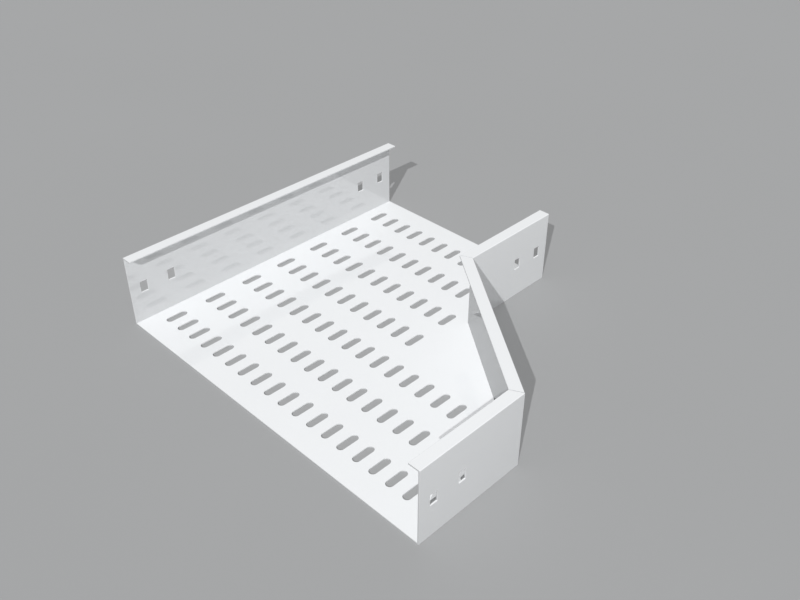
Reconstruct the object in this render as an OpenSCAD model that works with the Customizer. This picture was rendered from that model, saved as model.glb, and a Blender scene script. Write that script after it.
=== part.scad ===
// Cable tray reducer: a perforated floor plate between two sheet-metal sides.
// One side runs straight. The other steps in from the wide end to the narrow end.
// The origin is at the middle of the plan, on the underside. The tray runs along Y,
// with its wide end at -Y. The straight side is at -X.

/* [Tray] */
// Width over the sides at the wide end
wide_width = 500; // [360:5:800]
// Width over the sides at the narrow end
narrow_width = 300; // [150:5:440]
// Straight length at the wide end, along the tray
wide_length = 150; // [110:5:400]
// Length of the tapering stretch, along the tray
taper_length = 150; // [120:5:500]
// Straight length at the narrow end, along the tray
narrow_length = 150; // [110:5:400]

/* [Floor plate] */
// Thickness of the floor plate
plate_thickness = 2; // [1:0.1:4]

/* [Side rails] */
// Height of the sides, from the underside of the tray
rail_height = 100; // [75:5:200]
// Thickness of the side sheet
rail_thickness = 2; // [1:0.1:3]
// Width of the flange turned in along the top of the sides, from the outer face
flange_width = 15; // [10:0.5:30]
// Outside radius of the tight fold between a side and its flange
fold_radius = 1; // [0.2:0.1:2]
// Gap between two flanges where the stepped side turns
mitre_gap = 0.8; // [0.2:0.1:3]

/* [Floor slots] */
// Width of a slot
slot_width = 9.5; // [6:0.5:14]
// Length of a slot from end to end, along the tray
slot_length = 29; // [18:0.5:45]
// Distance between slot centres across the tray
slot_pitch_across = 25; // [18:0.5:60]
// Distance between slot centres along the tray
slot_pitch_along = 60; // [48:0.5:120]
// Distance from a side's outer face to the nearest slot centres
slot_margin_across = 25; // [18:0.5:50]
// Distance from an end of the tray to the nearest slot centres
slot_margin_along = 45; // [28:0.5:80]
// Least width of plain plate between a slot and the slanted side
slot_land = 10; // [4:0.5:30]

/* [Splice holes] */
// Width of a splice hole, along the tray
splice_hole_width = 10; // [6:0.5:16]
// Height of a splice hole
splice_hole_height = 15; // [8:0.5:24]
// Height of the splice hole centres above the underside
splice_hole_level = 50; // [30:1:60]
// Distance from an end of the tray to the first splice hole centre
splice_hole_margin = 20; // [12:0.5:40]
// Distance between splice hole centres
splice_hole_pitch = 40; // [20:1:60]
// Number of splice holes at each end of a side
splice_hole_count = 2; // [1:1:2]

/* [Hidden] */

// Segments in a full circle
$fn = 48;
// How far a cutting shape runs past the surface that it cuts
cut_margin = 1;
// White powder coat
coat_colour = [0.94, 0.95, 0.95];

tray_length = wide_length + taper_length + narrow_length;

// Plan of each side's outer face, with the inside of the tray on the left of the way it runs
straight_side = [[0, tray_length], [0, 0]];
offset_side = [
    [wide_width, 0],
    [wide_width, wide_length],
    [narrow_width, wide_length + taper_length],
    [narrow_width, tray_length]
];

// Unit vector from one plan point to the next
function direction(start, end) = (end - start) / norm(end - start);

// Unit vector into the tray, square to the stretch between two plan points
function inward(start, end) = let (along = direction(start, end)) [-along[1], along[0]];

// Where the corner of a side's plan moves to, for each millimetre that the whole side moves in
function mitre(side, corner) =
    corner == 0 ? inward(side[0], side[1]) :
    corner == len(side) - 1 ? inward(side[corner - 1], side[corner]) :
    let (
        before = inward(side[corner - 1], side[corner]),
        after = inward(side[corner], side[corner + 1])
    )
    (before + after) / (1 + before * after);

// Plan of a side moved into the tray by a depth
function inset(side, depth) = [for (corner = [0:len(side) - 1]) side[corner] + depth * mitre(side, corner)];

// Inner face of the offset side in plan
offset_inner_face = inset(offset_side, rail_thickness);

// Width of the tray that a row of slots spreads over: rows within half a pitch of the wide stretch
// take the full width, and all others keep to the narrow one
function row_width(row_y) = row_y - slot_pitch_along / 2 <= wide_length ? wide_width : narrow_width;

// Plain plate between one rounded slot end and the slanted side
function taper_land(centre) =
    let (into_tray = inward(offset_inner_face[1], offset_inner_face[2]))
    (centre - offset_inner_face[1]) * into_tray - slot_width / 2;

// Whether a slot keeps clear of the slanted side
function slot_fits(column_x, row_y) =
    column_x <= narrow_width - slot_margin_across ||
    taper_land([column_x, row_y + (slot_length - slot_width) / 2]) >= slot_land;

// Puts the tray's plan, drawn from its wide end and straight side, about the origin
module centred() {
    translate([-wide_width / 2, -tray_length / 2, 0]) children();
}

// Oblong slot about the origin, long along Y
module slot_outline() {
    end_y = (slot_length - slot_width) / 2;
    square([slot_width, 2 * end_y], center = true);
    for (side = [-1, 1]) translate([0, side * end_y]) circle(d = slot_width);
}

// All the slots of the floor
module floor_slots() {
    for (row_y = [slot_margin_along:slot_pitch_along:tray_length - slot_margin_along])
        for (column_x = [slot_margin_across:slot_pitch_across:row_width(row_y) - slot_margin_across])
            if (slot_fits(column_x, row_y)) translate([column_x, row_y]) slot_outline();
}

// Rectangle from the origin with its corner at the left of the top edge rounded
module rounded_rectangle(width, height, radius) {
    square([width, height - radius]);
    translate([radius, 0]) square([width - radius, height]);
    translate([radius, height - radius]) circle(r = radius);
}

// Section of a side rail: the outer face stands on the Y axis and the flange turns towards +X
module rail_section() {
    difference() {
        rounded_rectangle(flange_width, rail_height, fold_radius);
        translate([rail_thickness, -cut_margin])
            square([flange_width, rail_height - rail_thickness + cut_margin]);
    }
}

// Cutter for the gap between two flanges where a side turns
module mitre_slit(side, corner) {
    reach = mitre(side, corner);
    depth = rail_thickness + cut_margin;
    translate([side[corner][0], side[corner][1], rail_height - depth])
        rotate([0, 0, atan2(reach[1], reach[0])])
            translate([-cut_margin, -mitre_gap / 2, 0])
                cube([norm(reach) * flange_width + 2 * cut_margin, mitre_gap, depth + cut_margin]);
}

// One stretch of a side, cut square at the tray's ends and mitred where the side turns
module rail_stretch(side, first) {
    start = side[first];
    end = side[first + 1];
    facing = inward(start, end);
    overrun = flange_width + cut_margin;
    outer_plan = inset(side, -cut_margin);
    inner_plan = inset(side, flange_width + cut_margin);
    difference() {
        intersection() {
            translate(start - overrun * direction(start, end))
                rotate([90, 0, atan2(facing[1], facing[0])])
                    linear_extrude(norm(end - start) + 2 * overrun) rail_section();
            translate([0, 0, -cut_margin])
                linear_extrude(rail_height + 2 * cut_margin)
                    polygon([outer_plan[first], outer_plan[first + 1], inner_plan[first + 1], inner_plan[first]]);
        }
        for (corner = [first, first + 1])
            if (corner > 0 && corner < len(side) - 1) mitre_slit(side, corner);
    }
}

// Cutters for the splice holes at one end of a side
module splice_holes(outer_x, end_y, into_tray) {
    for (hole = [0:splice_hole_count - 1])
        translate([outer_x, end_y + into_tray * (splice_hole_margin + hole * splice_hole_pitch), splice_hole_level])
            cube([2 * (rail_thickness + cut_margin), splice_hole_width, splice_hole_height], center = true);
}

module base_plate() {
    color(coat_colour) centred() linear_extrude(plate_thickness) difference() {
        polygon(concat(offset_inner_face, inset(straight_side, rail_thickness)));
        floor_slots();
    }
}

module straight_side_rail() {
    color(coat_colour) centred() difference() {
        rail_stretch(straight_side, 0);
        splice_holes(0, 0, 1);
        splice_holes(0, tray_length, -1);
    }
}

module wide_side_rail() {
    color(coat_colour) centred() difference() {
        rail_stretch(offset_side, 0);
        splice_holes(wide_width, 0, 1);
    }
}

module slanted_side_rail() {
    color(coat_colour) centred() rail_stretch(offset_side, 1);
}

module narrow_side_rail() {
    color(coat_colour) centred() difference() {
        rail_stretch(offset_side, 2);
        splice_holes(narrow_width, tray_length, -1);
    }
}

base_plate();
straight_side_rail();
wide_side_rail();
slanted_side_rail();
narrow_side_rail();
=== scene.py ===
"""Cable tray reducer: white coated sheets with softened edges, on a pale studio floor."""

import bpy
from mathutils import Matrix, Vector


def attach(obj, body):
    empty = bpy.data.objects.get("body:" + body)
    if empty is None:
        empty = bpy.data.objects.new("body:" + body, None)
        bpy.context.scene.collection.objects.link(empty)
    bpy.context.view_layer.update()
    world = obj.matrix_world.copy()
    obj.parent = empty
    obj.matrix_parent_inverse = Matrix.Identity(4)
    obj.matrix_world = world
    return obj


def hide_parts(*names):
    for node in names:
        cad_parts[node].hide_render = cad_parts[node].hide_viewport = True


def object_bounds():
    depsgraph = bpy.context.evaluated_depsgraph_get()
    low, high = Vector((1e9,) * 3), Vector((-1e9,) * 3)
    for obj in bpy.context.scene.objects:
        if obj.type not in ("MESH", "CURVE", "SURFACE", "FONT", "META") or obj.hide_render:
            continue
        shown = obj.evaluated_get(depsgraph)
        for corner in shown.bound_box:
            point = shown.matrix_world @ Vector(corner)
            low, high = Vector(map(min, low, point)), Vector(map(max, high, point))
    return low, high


bl_info = {
    "name": "Cable Tray Reducer",
    "version": (1, 0, 0),
    "blender": (4, 5, 0),
    "location": "View3D > Sidebar > Cable Tray",
    "description": "Finishes the sheets of a cable tray reducer in white powder coat, on a studio floor",
    "category": "Object",
}

import math

import bmesh
import bpy
from bpy.props import FloatProperty, FloatVectorProperty, IntProperty, PointerProperty
from mathutils import Vector
from mathutils.bvhtree import BVHTree

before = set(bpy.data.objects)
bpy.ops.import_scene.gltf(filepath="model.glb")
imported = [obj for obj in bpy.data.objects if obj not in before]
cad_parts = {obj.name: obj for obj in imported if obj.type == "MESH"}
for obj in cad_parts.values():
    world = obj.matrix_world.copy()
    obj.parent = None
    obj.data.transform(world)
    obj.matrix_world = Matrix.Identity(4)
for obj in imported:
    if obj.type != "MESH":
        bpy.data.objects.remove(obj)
CAD_LOW, CAD_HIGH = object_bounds()
CAD_CENTRE = (CAD_LOW + CAD_HIGH) / 2

BODY = "root"
COAT_NAME = "white_powder_coat"
FLOOR_PLATE = "base_plate"
SIDE_RAILS = ("straight_side_rail", "wide_side_rail", "slanted_side_rail", "narrow_side_rail")
SHEETS = (FLOOR_PLATE, *SIDE_RAILS)
# Face attribute that is 1 on the rounded bands along the cut edges
EDGE_BAND = "edge_band"
# Corners of a packed sheet that lie this close are one corner
MERGE_DISTANCE = 1e-6
# Sides of the round floor
FLOOR_SIDES = 96
# Mean of the noise that the clouds are made of
CLOUD_MEAN = 0.5


class SheetEdgeSettings(bpy.types.PropertyGroup):
    """How the cut edges of the sheets are softened"""

    radius: FloatProperty(
        name="Edge Radius",
        description="Radius of a cut edge under the coat",
        default=0.0004,
        min=0.00005,
        max=0.0009,
        precision=5,
        subtype="DISTANCE",
        unit="LENGTH",
    )
    segments: IntProperty(
        name="Segments",
        description="Number of faces across a rounded edge",
        default=3,
        min=1,
        max=6,
    )
    crease: FloatProperty(
        name="Crease Angle",
        description="Least angle between two faces that makes an edge sharp",
        default=math.radians(40),
        min=0,
        max=math.pi,
        subtype="ANGLE",
    )
    flatness: FloatProperty(
        name="Flatness",
        description="Greatest angle between two faces that are joined into one flat face",
        default=math.radians(0.05),
        min=0,
        max=math.pi,
        subtype="ANGLE",
    )
    joint_reach: FloatProperty(
        name="Joint Reach",
        description="Cut edges closer than this to another sheet stay sharp",
        default=0.0012,
        min=0.0001,
        precision=4,
        subtype="DISTANCE",
        unit="LENGTH",
    )


class PowderCoatSettings(bpy.types.PropertyGroup):
    """The white powder coat on every sheet"""

    full_colour: FloatVectorProperty(
        name="Full Film",
        description="Colour where the coat is thick",
        default=(0.805, 0.820, 0.835),
        min=0,
        max=1,
        size=3,
        subtype="COLOR",
    )
    thin_colour: FloatVectorProperty(
        name="Thin Film",
        description="Colour where the coat is thin",
        default=(0.785, 0.800, 0.815),
        min=0,
        max=1,
        size=3,
        subtype="COLOR",
    )
    edge_colour: FloatVectorProperty(
        name="Edge Film",
        description="Colour of the coat drawn thin over a cut edge",
        default=(0.745, 0.758, 0.770),
        min=0,
        max=1,
        size=3,
        subtype="COLOR",
    )
    film_size: FloatProperty(
        name="Film Clouds",
        description="Width of the clouds in the film's thickness",
        default=0.09,
        min=0.001,
        subtype="DISTANCE",
        unit="LENGTH",
    )
    roughness: FloatProperty(
        name="Roughness",
        description="Roughness of the cured coat",
        default=0.08,
        min=0,
        max=1,
        subtype="FACTOR",
    )
    roughness_spread: FloatProperty(
        name="Roughness Spread",
        description="How much the roughness changes between thin and thick film",
        default=0.04,
        min=0,
        max=1,
        subtype="FACTOR",
    )
    gloss: FloatProperty(
        name="Gloss",
        description="Weight of the clear skin that the resin forms on the coat",
        default=1.0,
        min=0,
        max=1,
        subtype="FACTOR",
    )
    gloss_roughness: FloatProperty(
        name="Gloss Roughness",
        description="Roughness of the clear skin",
        default=0.03,
        min=0,
        max=1,
        subtype="FACTOR",
    )
    gloss_index: FloatProperty(
        name="Gloss Index",
        description="Refractive index of the clear skin",
        default=2.1,
        min=1,
        max=3,
    )
    peel_size: FloatProperty(
        name="Orange Peel Size",
        description="Width of one dimple of the orange peel",
        default=0.0025,
        min=0.0001,
        precision=5,
        subtype="DISTANCE",
        unit="LENGTH",
    )
    peel_depth: FloatProperty(
        name="Orange Peel Depth",
        description="Height of the orange peel",
        default=0.000004,
        min=0,
        precision=7,
        subtype="DISTANCE",
        unit="LENGTH",
    )
    wave_size: FloatProperty(
        name="Sheet Wave Size",
        description="Width of the slow waves that rolling leaves in the sheet",
        default=0.12,
        min=0.001,
        subtype="DISTANCE",
        unit="LENGTH",
    )
    wave_depth: FloatProperty(
        name="Sheet Wave Depth",
        description="Height of the slow waves in the sheet",
        default=0.00006,
        min=0,
        precision=6,
        subtype="DISTANCE",
        unit="LENGTH",
    )


class StudioSettings(bpy.types.PropertyGroup):
    """The floor, the light and the camera"""

    floor_colour: FloatVectorProperty(
        name="Floor Colour",
        description="Colour of the studio floor",
        default=(0.310, 0.314, 0.318),
        min=0,
        max=1,
        size=3,
        subtype="COLOR",
    )
    floor_mottle: FloatProperty(
        name="Floor Mottle",
        description="How far the floor's colour strays from its mean",
        default=0.015,
        min=0,
        max=1,
        subtype="FACTOR",
    )
    floor_mottle_size: FloatProperty(
        name="Floor Mottle Size",
        description="Width of the clouds in the floor's colour",
        default=0.35,
        min=0.01,
        subtype="DISTANCE",
        unit="LENGTH",
    )
    floor_roughness: FloatProperty(
        name="Floor Roughness",
        description="Mean roughness of the floor",
        default=0.6,
        min=0,
        max=1,
        subtype="FACTOR",
    )
    floor_roughness_spread: FloatProperty(
        name="Floor Roughness Spread",
        description="How much the roughness changes over the floor",
        default=0.1,
        min=0,
        max=1,
        subtype="FACTOR",
    )
    floor_radius: FloatProperty(
        name="Floor Radius",
        description="Radius of the studio floor",
        default=40.0,
        min=1,
        subtype="DISTANCE",
        unit="LENGTH",
    )
    floor_gap: FloatProperty(
        name="Floor Gap",
        description="Clearance between the floor and the underside of the tray",
        default=0.0002,
        min=0,
        precision=5,
        subtype="DISTANCE",
        unit="LENGTH",
    )
    key_direction: FloatVectorProperty(
        name="Key Direction",
        description="Direction from the tray to the key lamp",
        default=(0.415, -0.708, 0.571),
        size=3,
        subtype="DIRECTION",
    )
    key_strength: FloatProperty(
        name="Key Strength",
        description="Irradiance of the key lamp",
        default=2.5,
        min=0,
    )
    lamp_softness: FloatProperty(
        name="Lamp Softness",
        description="Angle that a lamp spans as the tray sees it",
        default=math.radians(0.4),
        min=0,
        max=math.pi,
        subtype="ANGLE",
    )
    overhead_direction: FloatVectorProperty(
        name="Overhead Direction",
        description="Direction from the tray to the overhead fill",
        default=(0.0, 0.0, 1.0),
        size=3,
        subtype="DIRECTION",
    )
    overhead_strength: FloatProperty(
        name="Overhead Strength",
        description="Irradiance of the overhead fill",
        default=1.4,
        min=0,
    )
    side_direction: FloatVectorProperty(
        name="Side Direction",
        description="Direction from the tray to the lamp and the fill beside its stepped side",
        default=(1.0, 0.0, 0.0),
        size=3,
        subtype="DIRECTION",
    )
    side_strength: FloatProperty(
        name="Side Strength",
        description="Irradiance of the side lamp",
        default=0.44,
        min=0,
    )
    side_fill_strength: FloatProperty(
        name="Side Fill Strength",
        description="Irradiance of the side fill",
        default=0.88,
        min=0,
    )
    back_direction: FloatVectorProperty(
        name="Back Direction",
        description="Direction from the tray to the fill behind its straight side",
        default=(-0.68, 0.68, 0.28),
        size=3,
        subtype="DIRECTION",
    )
    back_strength: FloatProperty(
        name="Back Strength",
        description="Irradiance of the back fill",
        default=2.3,
        min=0,
    )
    room_strength: FloatProperty(
        name="Room Strength",
        description="Brightness of the room all round the tray",
        default=0.12,
        min=0,
    )
    backdrop_strength: FloatProperty(
        name="Backdrop Strength",
        description="Brightness of the backdrop in the picture and in reflections",
        default=0.39,
        min=0,
        max=1,
    )
    camera_azimuth: FloatProperty(
        name="Camera Azimuth",
        description="Where the camera stands about the tray, from -Y towards +X",
        default=math.radians(45),
        subtype="ANGLE",
    )
    camera_elevation: FloatProperty(
        name="Camera Elevation",
        description="How far the camera stands above the horizon",
        default=math.atan(math.sqrt(0.5)),
        subtype="ANGLE",
    )
    camera_distance: FloatProperty(
        name="Camera Distance",
        description="Distance from the middle of the tray to the camera",
        default=1.119,
        min=0.1,
        subtype="DISTANCE",
        unit="LENGTH",
    )
    lens: FloatProperty(
        name="Lens",
        description="Focal length of the camera, in millimetres",
        default=41.09,
        min=1,
        subtype="DISTANCE_CAMERA",
        unit="CAMERA",
    )


class CableTraySettings(bpy.types.PropertyGroup):
    """Everything that can be set on the dressed tray"""

    edges: PointerProperty(type=SheetEdgeSettings, name="Sheet Edges", description="Softened cut edges")
    coat: PointerProperty(type=PowderCoatSettings, name="Powder Coat", description="White powder coat")
    studio: PointerProperty(type=StudioSettings, name="Studio", description="Floor, light and camera")


class Value:
    """A number that varies over a surface: arithmetic on it adds Math nodes"""

    def __init__(self, graph, socket):
        self.graph = graph
        self.socket = socket

    def math(self, operation, first, second):
        """The result of one Math node"""
        return self.graph.node("ShaderNodeMath", {"operation": operation}, {0: first, 1: second}, "Value")

    def __add__(self, other):
        return self.math("ADD", self, other)

    def __radd__(self, other):
        return self.math("ADD", other, self)

    def __sub__(self, other):
        return self.math("SUBTRACT", self, other)

    def __rsub__(self, other):
        return self.math("SUBTRACT", other, self)

    def __mul__(self, other):
        return self.math("MULTIPLY", self, other)

    def __rmul__(self, other):
        return self.math("MULTIPLY", other, self)

    def at_least(self, other):
        return self.math("MAXIMUM", self, other)


class Graph:
    """The nodes of one material, or of the world"""

    def __init__(self, owner):
        owner.use_nodes = True
        self.tree = owner.node_tree
        self.tree.nodes.clear()

    def node(self, kind, settings, sockets, output=None):
        """Adds a node, sets it up, fills its sockets and gives back the output that is named"""
        made = self.tree.nodes.new(kind)
        for name, setting in settings.items():
            setattr(made, name, setting)
        for key, content in sockets.items():
            socket = made.inputs[key] if isinstance(key, int) else self.shown(made.inputs, key)
            if isinstance(content, Value):
                self.tree.links.new(content.socket, socket)
            else:
                socket.default_value = content
        return output and Value(self, self.shown(made.outputs, output))

    @staticmethod
    def shown(sockets, name):
        """The socket of a name that is in use, as some nodes keep unused ones of the same name"""
        return next(socket for socket in sockets if socket.enabled and socket.name == name)

    def place(self):
        """Where a point lies in the tray's own frame"""
        return self.node("ShaderNodeTexCoord", {}, {}, "Object")

    def clouds(self, place, size, detail=2.0):
        """Noise from 0 to 1 whose features are about as wide as size"""
        sockets = {"Vector": place, "Scale": 1 / size, "Detail": detail}
        return self.node("ShaderNodeTexNoise", {}, sockets, "Fac")

    def blend(self, share, colour, other):
        """Colour that goes from one to the other as the share goes from 0 to 1"""
        sockets = {"Factor": share, "A": colour, "B": other}
        return self.node("ShaderNodeMix", {"data_type": "RGBA"}, sockets, "Result")


def opaque(colour):
    """A property's colour with full alpha, as colour sockets take it"""
    return (*colour, 1.0)


def powder_coat(coat):
    """White powder coat: a film that is thick and thin in clouds, with orange peel and thin edges"""
    material = bpy.data.materials.new(COAT_NAME)
    graph = Graph(material)
    place = graph.place()
    film = graph.clouds(place, coat.film_size)
    edge = graph.node("ShaderNodeAttribute", {"attribute_name": EDGE_BAND}, {}, "Fac")
    flat_colour = graph.blend(film, opaque(coat.thin_colour), opaque(coat.full_colour))
    colour = graph.blend(edge, flat_colour, opaque(coat.edge_colour))
    roughness = coat.roughness + coat.roughness_spread * (CLOUD_MEAN - film)
    peel = graph.clouds(place, coat.peel_size, detail=1.0)
    wave = graph.clouds(place, coat.wave_size, detail=0.0)
    height = coat.peel_depth * peel + coat.wave_depth * wave
    normal = graph.node("ShaderNodeBump", {}, {"Strength": 1.0, "Distance": 1.0, "Height": height}, "Normal")
    coated = {
        "Base Color": colour,
        "Roughness": roughness,
        "Normal": normal,
        "Coat Weight": coat.gloss,
        "Coat Roughness": coat.gloss_roughness,
        "Coat IOR": coat.gloss_index,
    }
    shader = graph.node("ShaderNodeBsdfPrincipled", {}, coated, "BSDF")
    graph.node("ShaderNodeOutputMaterial", {}, {"Surface": shader})
    return material


def coat_of(scene):
    """The one powder coat that every sheet shares"""
    return bpy.data.materials.get(COAT_NAME) or powder_coat(scene.cable_tray.coat)


def other_sheets(node):
    """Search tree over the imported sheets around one"""
    shape = bmesh.new()
    for name in SHEETS:
        if name != node:
            shape.from_mesh(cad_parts[name].data)
    tree = BVHTree.FromBMesh(shape)
    shape.free()
    return tree


def is_cut_edge(edge, neighbours, joint_reach):
    """Whether an edge stands out, clear of the sheets that this one is joined to"""
    middle = (edge.verts[0].co + edge.verts[1].co) / 2
    nearest = neighbours.find_nearest(middle, joint_reach)[0]
    return edge.is_convex and nearest is None


def softened_sheet(node, edges):
    """Mesh of a packed sheet with its flat faces joined and its cut edges rounded"""
    shape = bmesh.new()
    shape.from_mesh(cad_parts[node].data)
    band = shape.faces.layers.float.new(EDGE_BAND)
    # A packed sheet is loose triangles, so its corners are merged first
    bmesh.ops.remove_doubles(shape, verts=shape.verts, dist=MERGE_DISTANCE)
    bmesh.ops.dissolve_limit(shape, angle_limit=edges.flatness, verts=shape.verts, edges=shape.edges)
    neighbours = other_sheets(node)
    creases = [edge for edge in shape.edges if edge.calc_face_angle() > edges.crease]
    cut_edges = [edge for edge in creases if is_cut_edge(edge, neighbours, edges.joint_reach)]
    rounded = bmesh.ops.bevel(
        shape,
        geom=cut_edges,
        offset=edges.radius,
        offset_type="OFFSET",
        affect="EDGES",
        segments=edges.segments,
        profile=0.5,
        material=-1,
        loop_slide=False,
        clamp_overlap=False,
    )
    for face in rounded["faces"]:
        face[band] = 1.0
    # Edges are marked after the rounding, so that the flat faces stay flat right up to their ends
    for face in shape.faces:
        face.smooth = True
    for edge in shape.edges:
        edge.smooth = edge.calc_face_angle() < edges.crease
    mesh = bpy.data.meshes.new(node + "_coated")
    shape.to_mesh(mesh)
    shape.free()
    return mesh


def coat_sheet(scene, node):
    """Puts the finished sheet in the place of its packed one"""
    mesh = softened_sheet(node, scene.cable_tray.edges)
    mesh.materials.append(coat_of(scene))
    piece = bpy.data.objects.new(mesh.name, mesh)
    scene.collection.objects.link(piece)
    shading = piece.modifiers.new("flat_face_shading", "WEIGHTED_NORMAL")
    shading.keep_sharp = True
    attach(piece, BODY)
    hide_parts(node)


class CABLE_TRAY_OT_floor_plate(bpy.types.Operator):
    """Makes the slotted floor plate with softened slots and a white coat"""

    bl_idname = "cable_tray.floor_plate"
    bl_label = "Floor Plate"

    def execute(self, context):
        coat_sheet(context.scene, FLOOR_PLATE)
        return {"FINISHED"}


class CABLE_TRAY_OT_side_rails(bpy.types.Operator):
    """Makes the straight side and the three stretches of the stepped side"""

    bl_idname = "cable_tray.side_rails"
    bl_label = "Side Rails"

    def execute(self, context):
        for node in SIDE_RAILS:
            coat_sheet(context.scene, node)
        return {"FINISHED"}


def floor_paint(studio):
    """Plain matt floor with a faint mottle"""
    material = bpy.data.materials.new("studio_floor")
    graph = Graph(material)
    mottle = graph.clouds(graph.place(), studio.floor_mottle_size)
    mean = Vector(studio.floor_colour)
    stray = mean * studio.floor_mottle
    colour = graph.blend(mottle, opaque(mean - stray), opaque(mean + stray))
    roughness = studio.floor_roughness + studio.floor_roughness_spread * (mottle - CLOUD_MEAN)
    painted = {"Base Color": colour, "Roughness": roughness}
    shader = graph.node("ShaderNodeBsdfPrincipled", {}, painted, "BSDF")
    graph.node("ShaderNodeOutputMaterial", {}, {"Surface": shader})
    return material


def lay_floor(scene, studio):
    """Round floor just under the tray"""
    shape = bmesh.new()
    bmesh.ops.create_circle(shape, cap_ends=True, radius=studio.floor_radius, segments=FLOOR_SIDES)
    bmesh.ops.translate(shape, verts=shape.verts, vec=(0, 0, CAD_LOW.z - studio.floor_gap))
    mesh = bpy.data.meshes.new("studio_floor")
    shape.to_mesh(mesh)
    shape.free()
    mesh.materials.append(floor_paint(studio))
    floor = bpy.data.objects.new("studio_floor", mesh)
    scene.collection.objects.link(floor)


def hang_lamp(scene, name, direction, strength, softness):
    """Lamp so far off that its light comes from one direction, with no mirror image"""
    lamp = bpy.data.lights.new(name, "SUN")
    lamp.energy = strength
    lamp.angle = softness
    holder = bpy.data.objects.new(name, lamp)
    holder.rotation_euler = Vector(direction).to_track_quat("Z", "Y").to_euler()
    holder.visible_glossy = False
    scene.collection.objects.link(holder)
    return lamp


def hang_fill(scene, name, direction, strength, softness):
    """Lamp that only lightens the faces towards it, with no shadow and no bounce"""
    lamp = hang_lamp(scene, name, direction, strength, softness)
    lamp.use_shadow = False
    lamp.cycles.max_bounces = 0


def hang_lamps(scene, studio):
    """Key lamp over the near corner, a lamp at the side, and fills from overhead, beside and behind"""
    softness = studio.lamp_softness
    hang_lamp(scene, "key_lamp", studio.key_direction, studio.key_strength, softness)
    hang_lamp(scene, "side_lamp", studio.side_direction, studio.side_strength, softness)
    hang_fill(scene, "overhead_fill", studio.overhead_direction, studio.overhead_strength, softness)
    hang_fill(scene, "side_fill", studio.side_direction, studio.side_fill_strength, softness)
    hang_fill(scene, "back_fill", studio.back_direction, studio.back_strength, softness)


def light_room(scene, studio):
    """Even light from all round, and a pale backdrop for what is seen or mirrored"""
    scene.world = bpy.data.worlds.new("studio_room")
    graph = Graph(scene.world)
    seen = 0
    for ray in ("Is Camera Ray", "Is Glossy Ray", "Is Transmission Ray"):
        seen = graph.node("ShaderNodeLightPath", {}, {}, ray).at_least(seen)
    strength = studio.backdrop_strength * seen + studio.room_strength * (1 - seen)
    white = opaque((1, 1, 1))
    room = graph.node("ShaderNodeBackground", {}, {"Color": white, "Strength": strength}, "Background")
    graph.node("ShaderNodeOutputWorld", {}, {"Surface": room})


def place_camera(scene, studio):
    """Camera that looks down on the near corner of the wide end"""
    level = math.cos(studio.camera_elevation)
    back = Vector((
        math.sin(studio.camera_azimuth) * level,
        -math.cos(studio.camera_azimuth) * level,
        math.sin(studio.camera_elevation),
    ))
    lens = bpy.data.cameras.new("camera")
    lens.lens = studio.lens
    camera = bpy.data.objects.new("camera", lens)
    camera.location = CAD_CENTRE + studio.camera_distance * back
    camera.rotation_euler = back.to_track_quat("Z", "Y").to_euler()
    scene.collection.objects.link(camera)
    scene.camera = camera


class CABLE_TRAY_OT_stage(bpy.types.Operator):
    """Lays the floor, lights the studio and places the camera"""

    bl_idname = "cable_tray.stage"
    bl_label = "Stage"

    def execute(self, context):
        scene = context.scene
        studio = scene.cable_tray.studio
        scene.view_settings.view_transform = "Standard"
        lay_floor(scene, studio)
        hang_lamps(scene, studio)
        light_room(scene, studio)
        place_camera(scene, studio)
        return {"FINISHED"}


class VIEW3D_PT_cable_tray(bpy.types.Panel):
    """Steps and settings of the cable tray reducer"""

    bl_label = "Cable Tray"
    bl_space_type = "VIEW_3D"
    bl_region_type = "UI"
    bl_category = "Cable Tray"

    def draw(self, context):
        settings = context.scene.cable_tray
        for operator in OPERATORS:
            self.layout.operator(operator.bl_idname)
        for group in (settings.edges, settings.coat, settings.studio):
            box = self.layout.box()
            for name in group.__annotations__:
                box.prop(group, name)


SETTINGS = (SheetEdgeSettings, PowderCoatSettings, StudioSettings, CableTraySettings)
OPERATORS = (CABLE_TRAY_OT_floor_plate, CABLE_TRAY_OT_side_rails, CABLE_TRAY_OT_stage)
CLASSES = (*SETTINGS, *OPERATORS, VIEW3D_PT_cable_tray)


def register():
    for cls in CLASSES:
        bpy.utils.register_class(cls)
    bpy.types.Scene.cable_tray = PointerProperty(
        type=CableTraySettings,
        name="Cable Tray",
        description="Settings of the cable tray reducer",
    )


def unregister():
    del bpy.types.Scene.cable_tray
    for cls in reversed(CLASSES):
        bpy.utils.unregister_class(cls)


def main():
    register()
    bpy.ops.cable_tray.floor_plate()
    bpy.ops.cable_tray.side_rails()
    bpy.ops.cable_tray.stage()


if __name__ == "__main__":
    main()
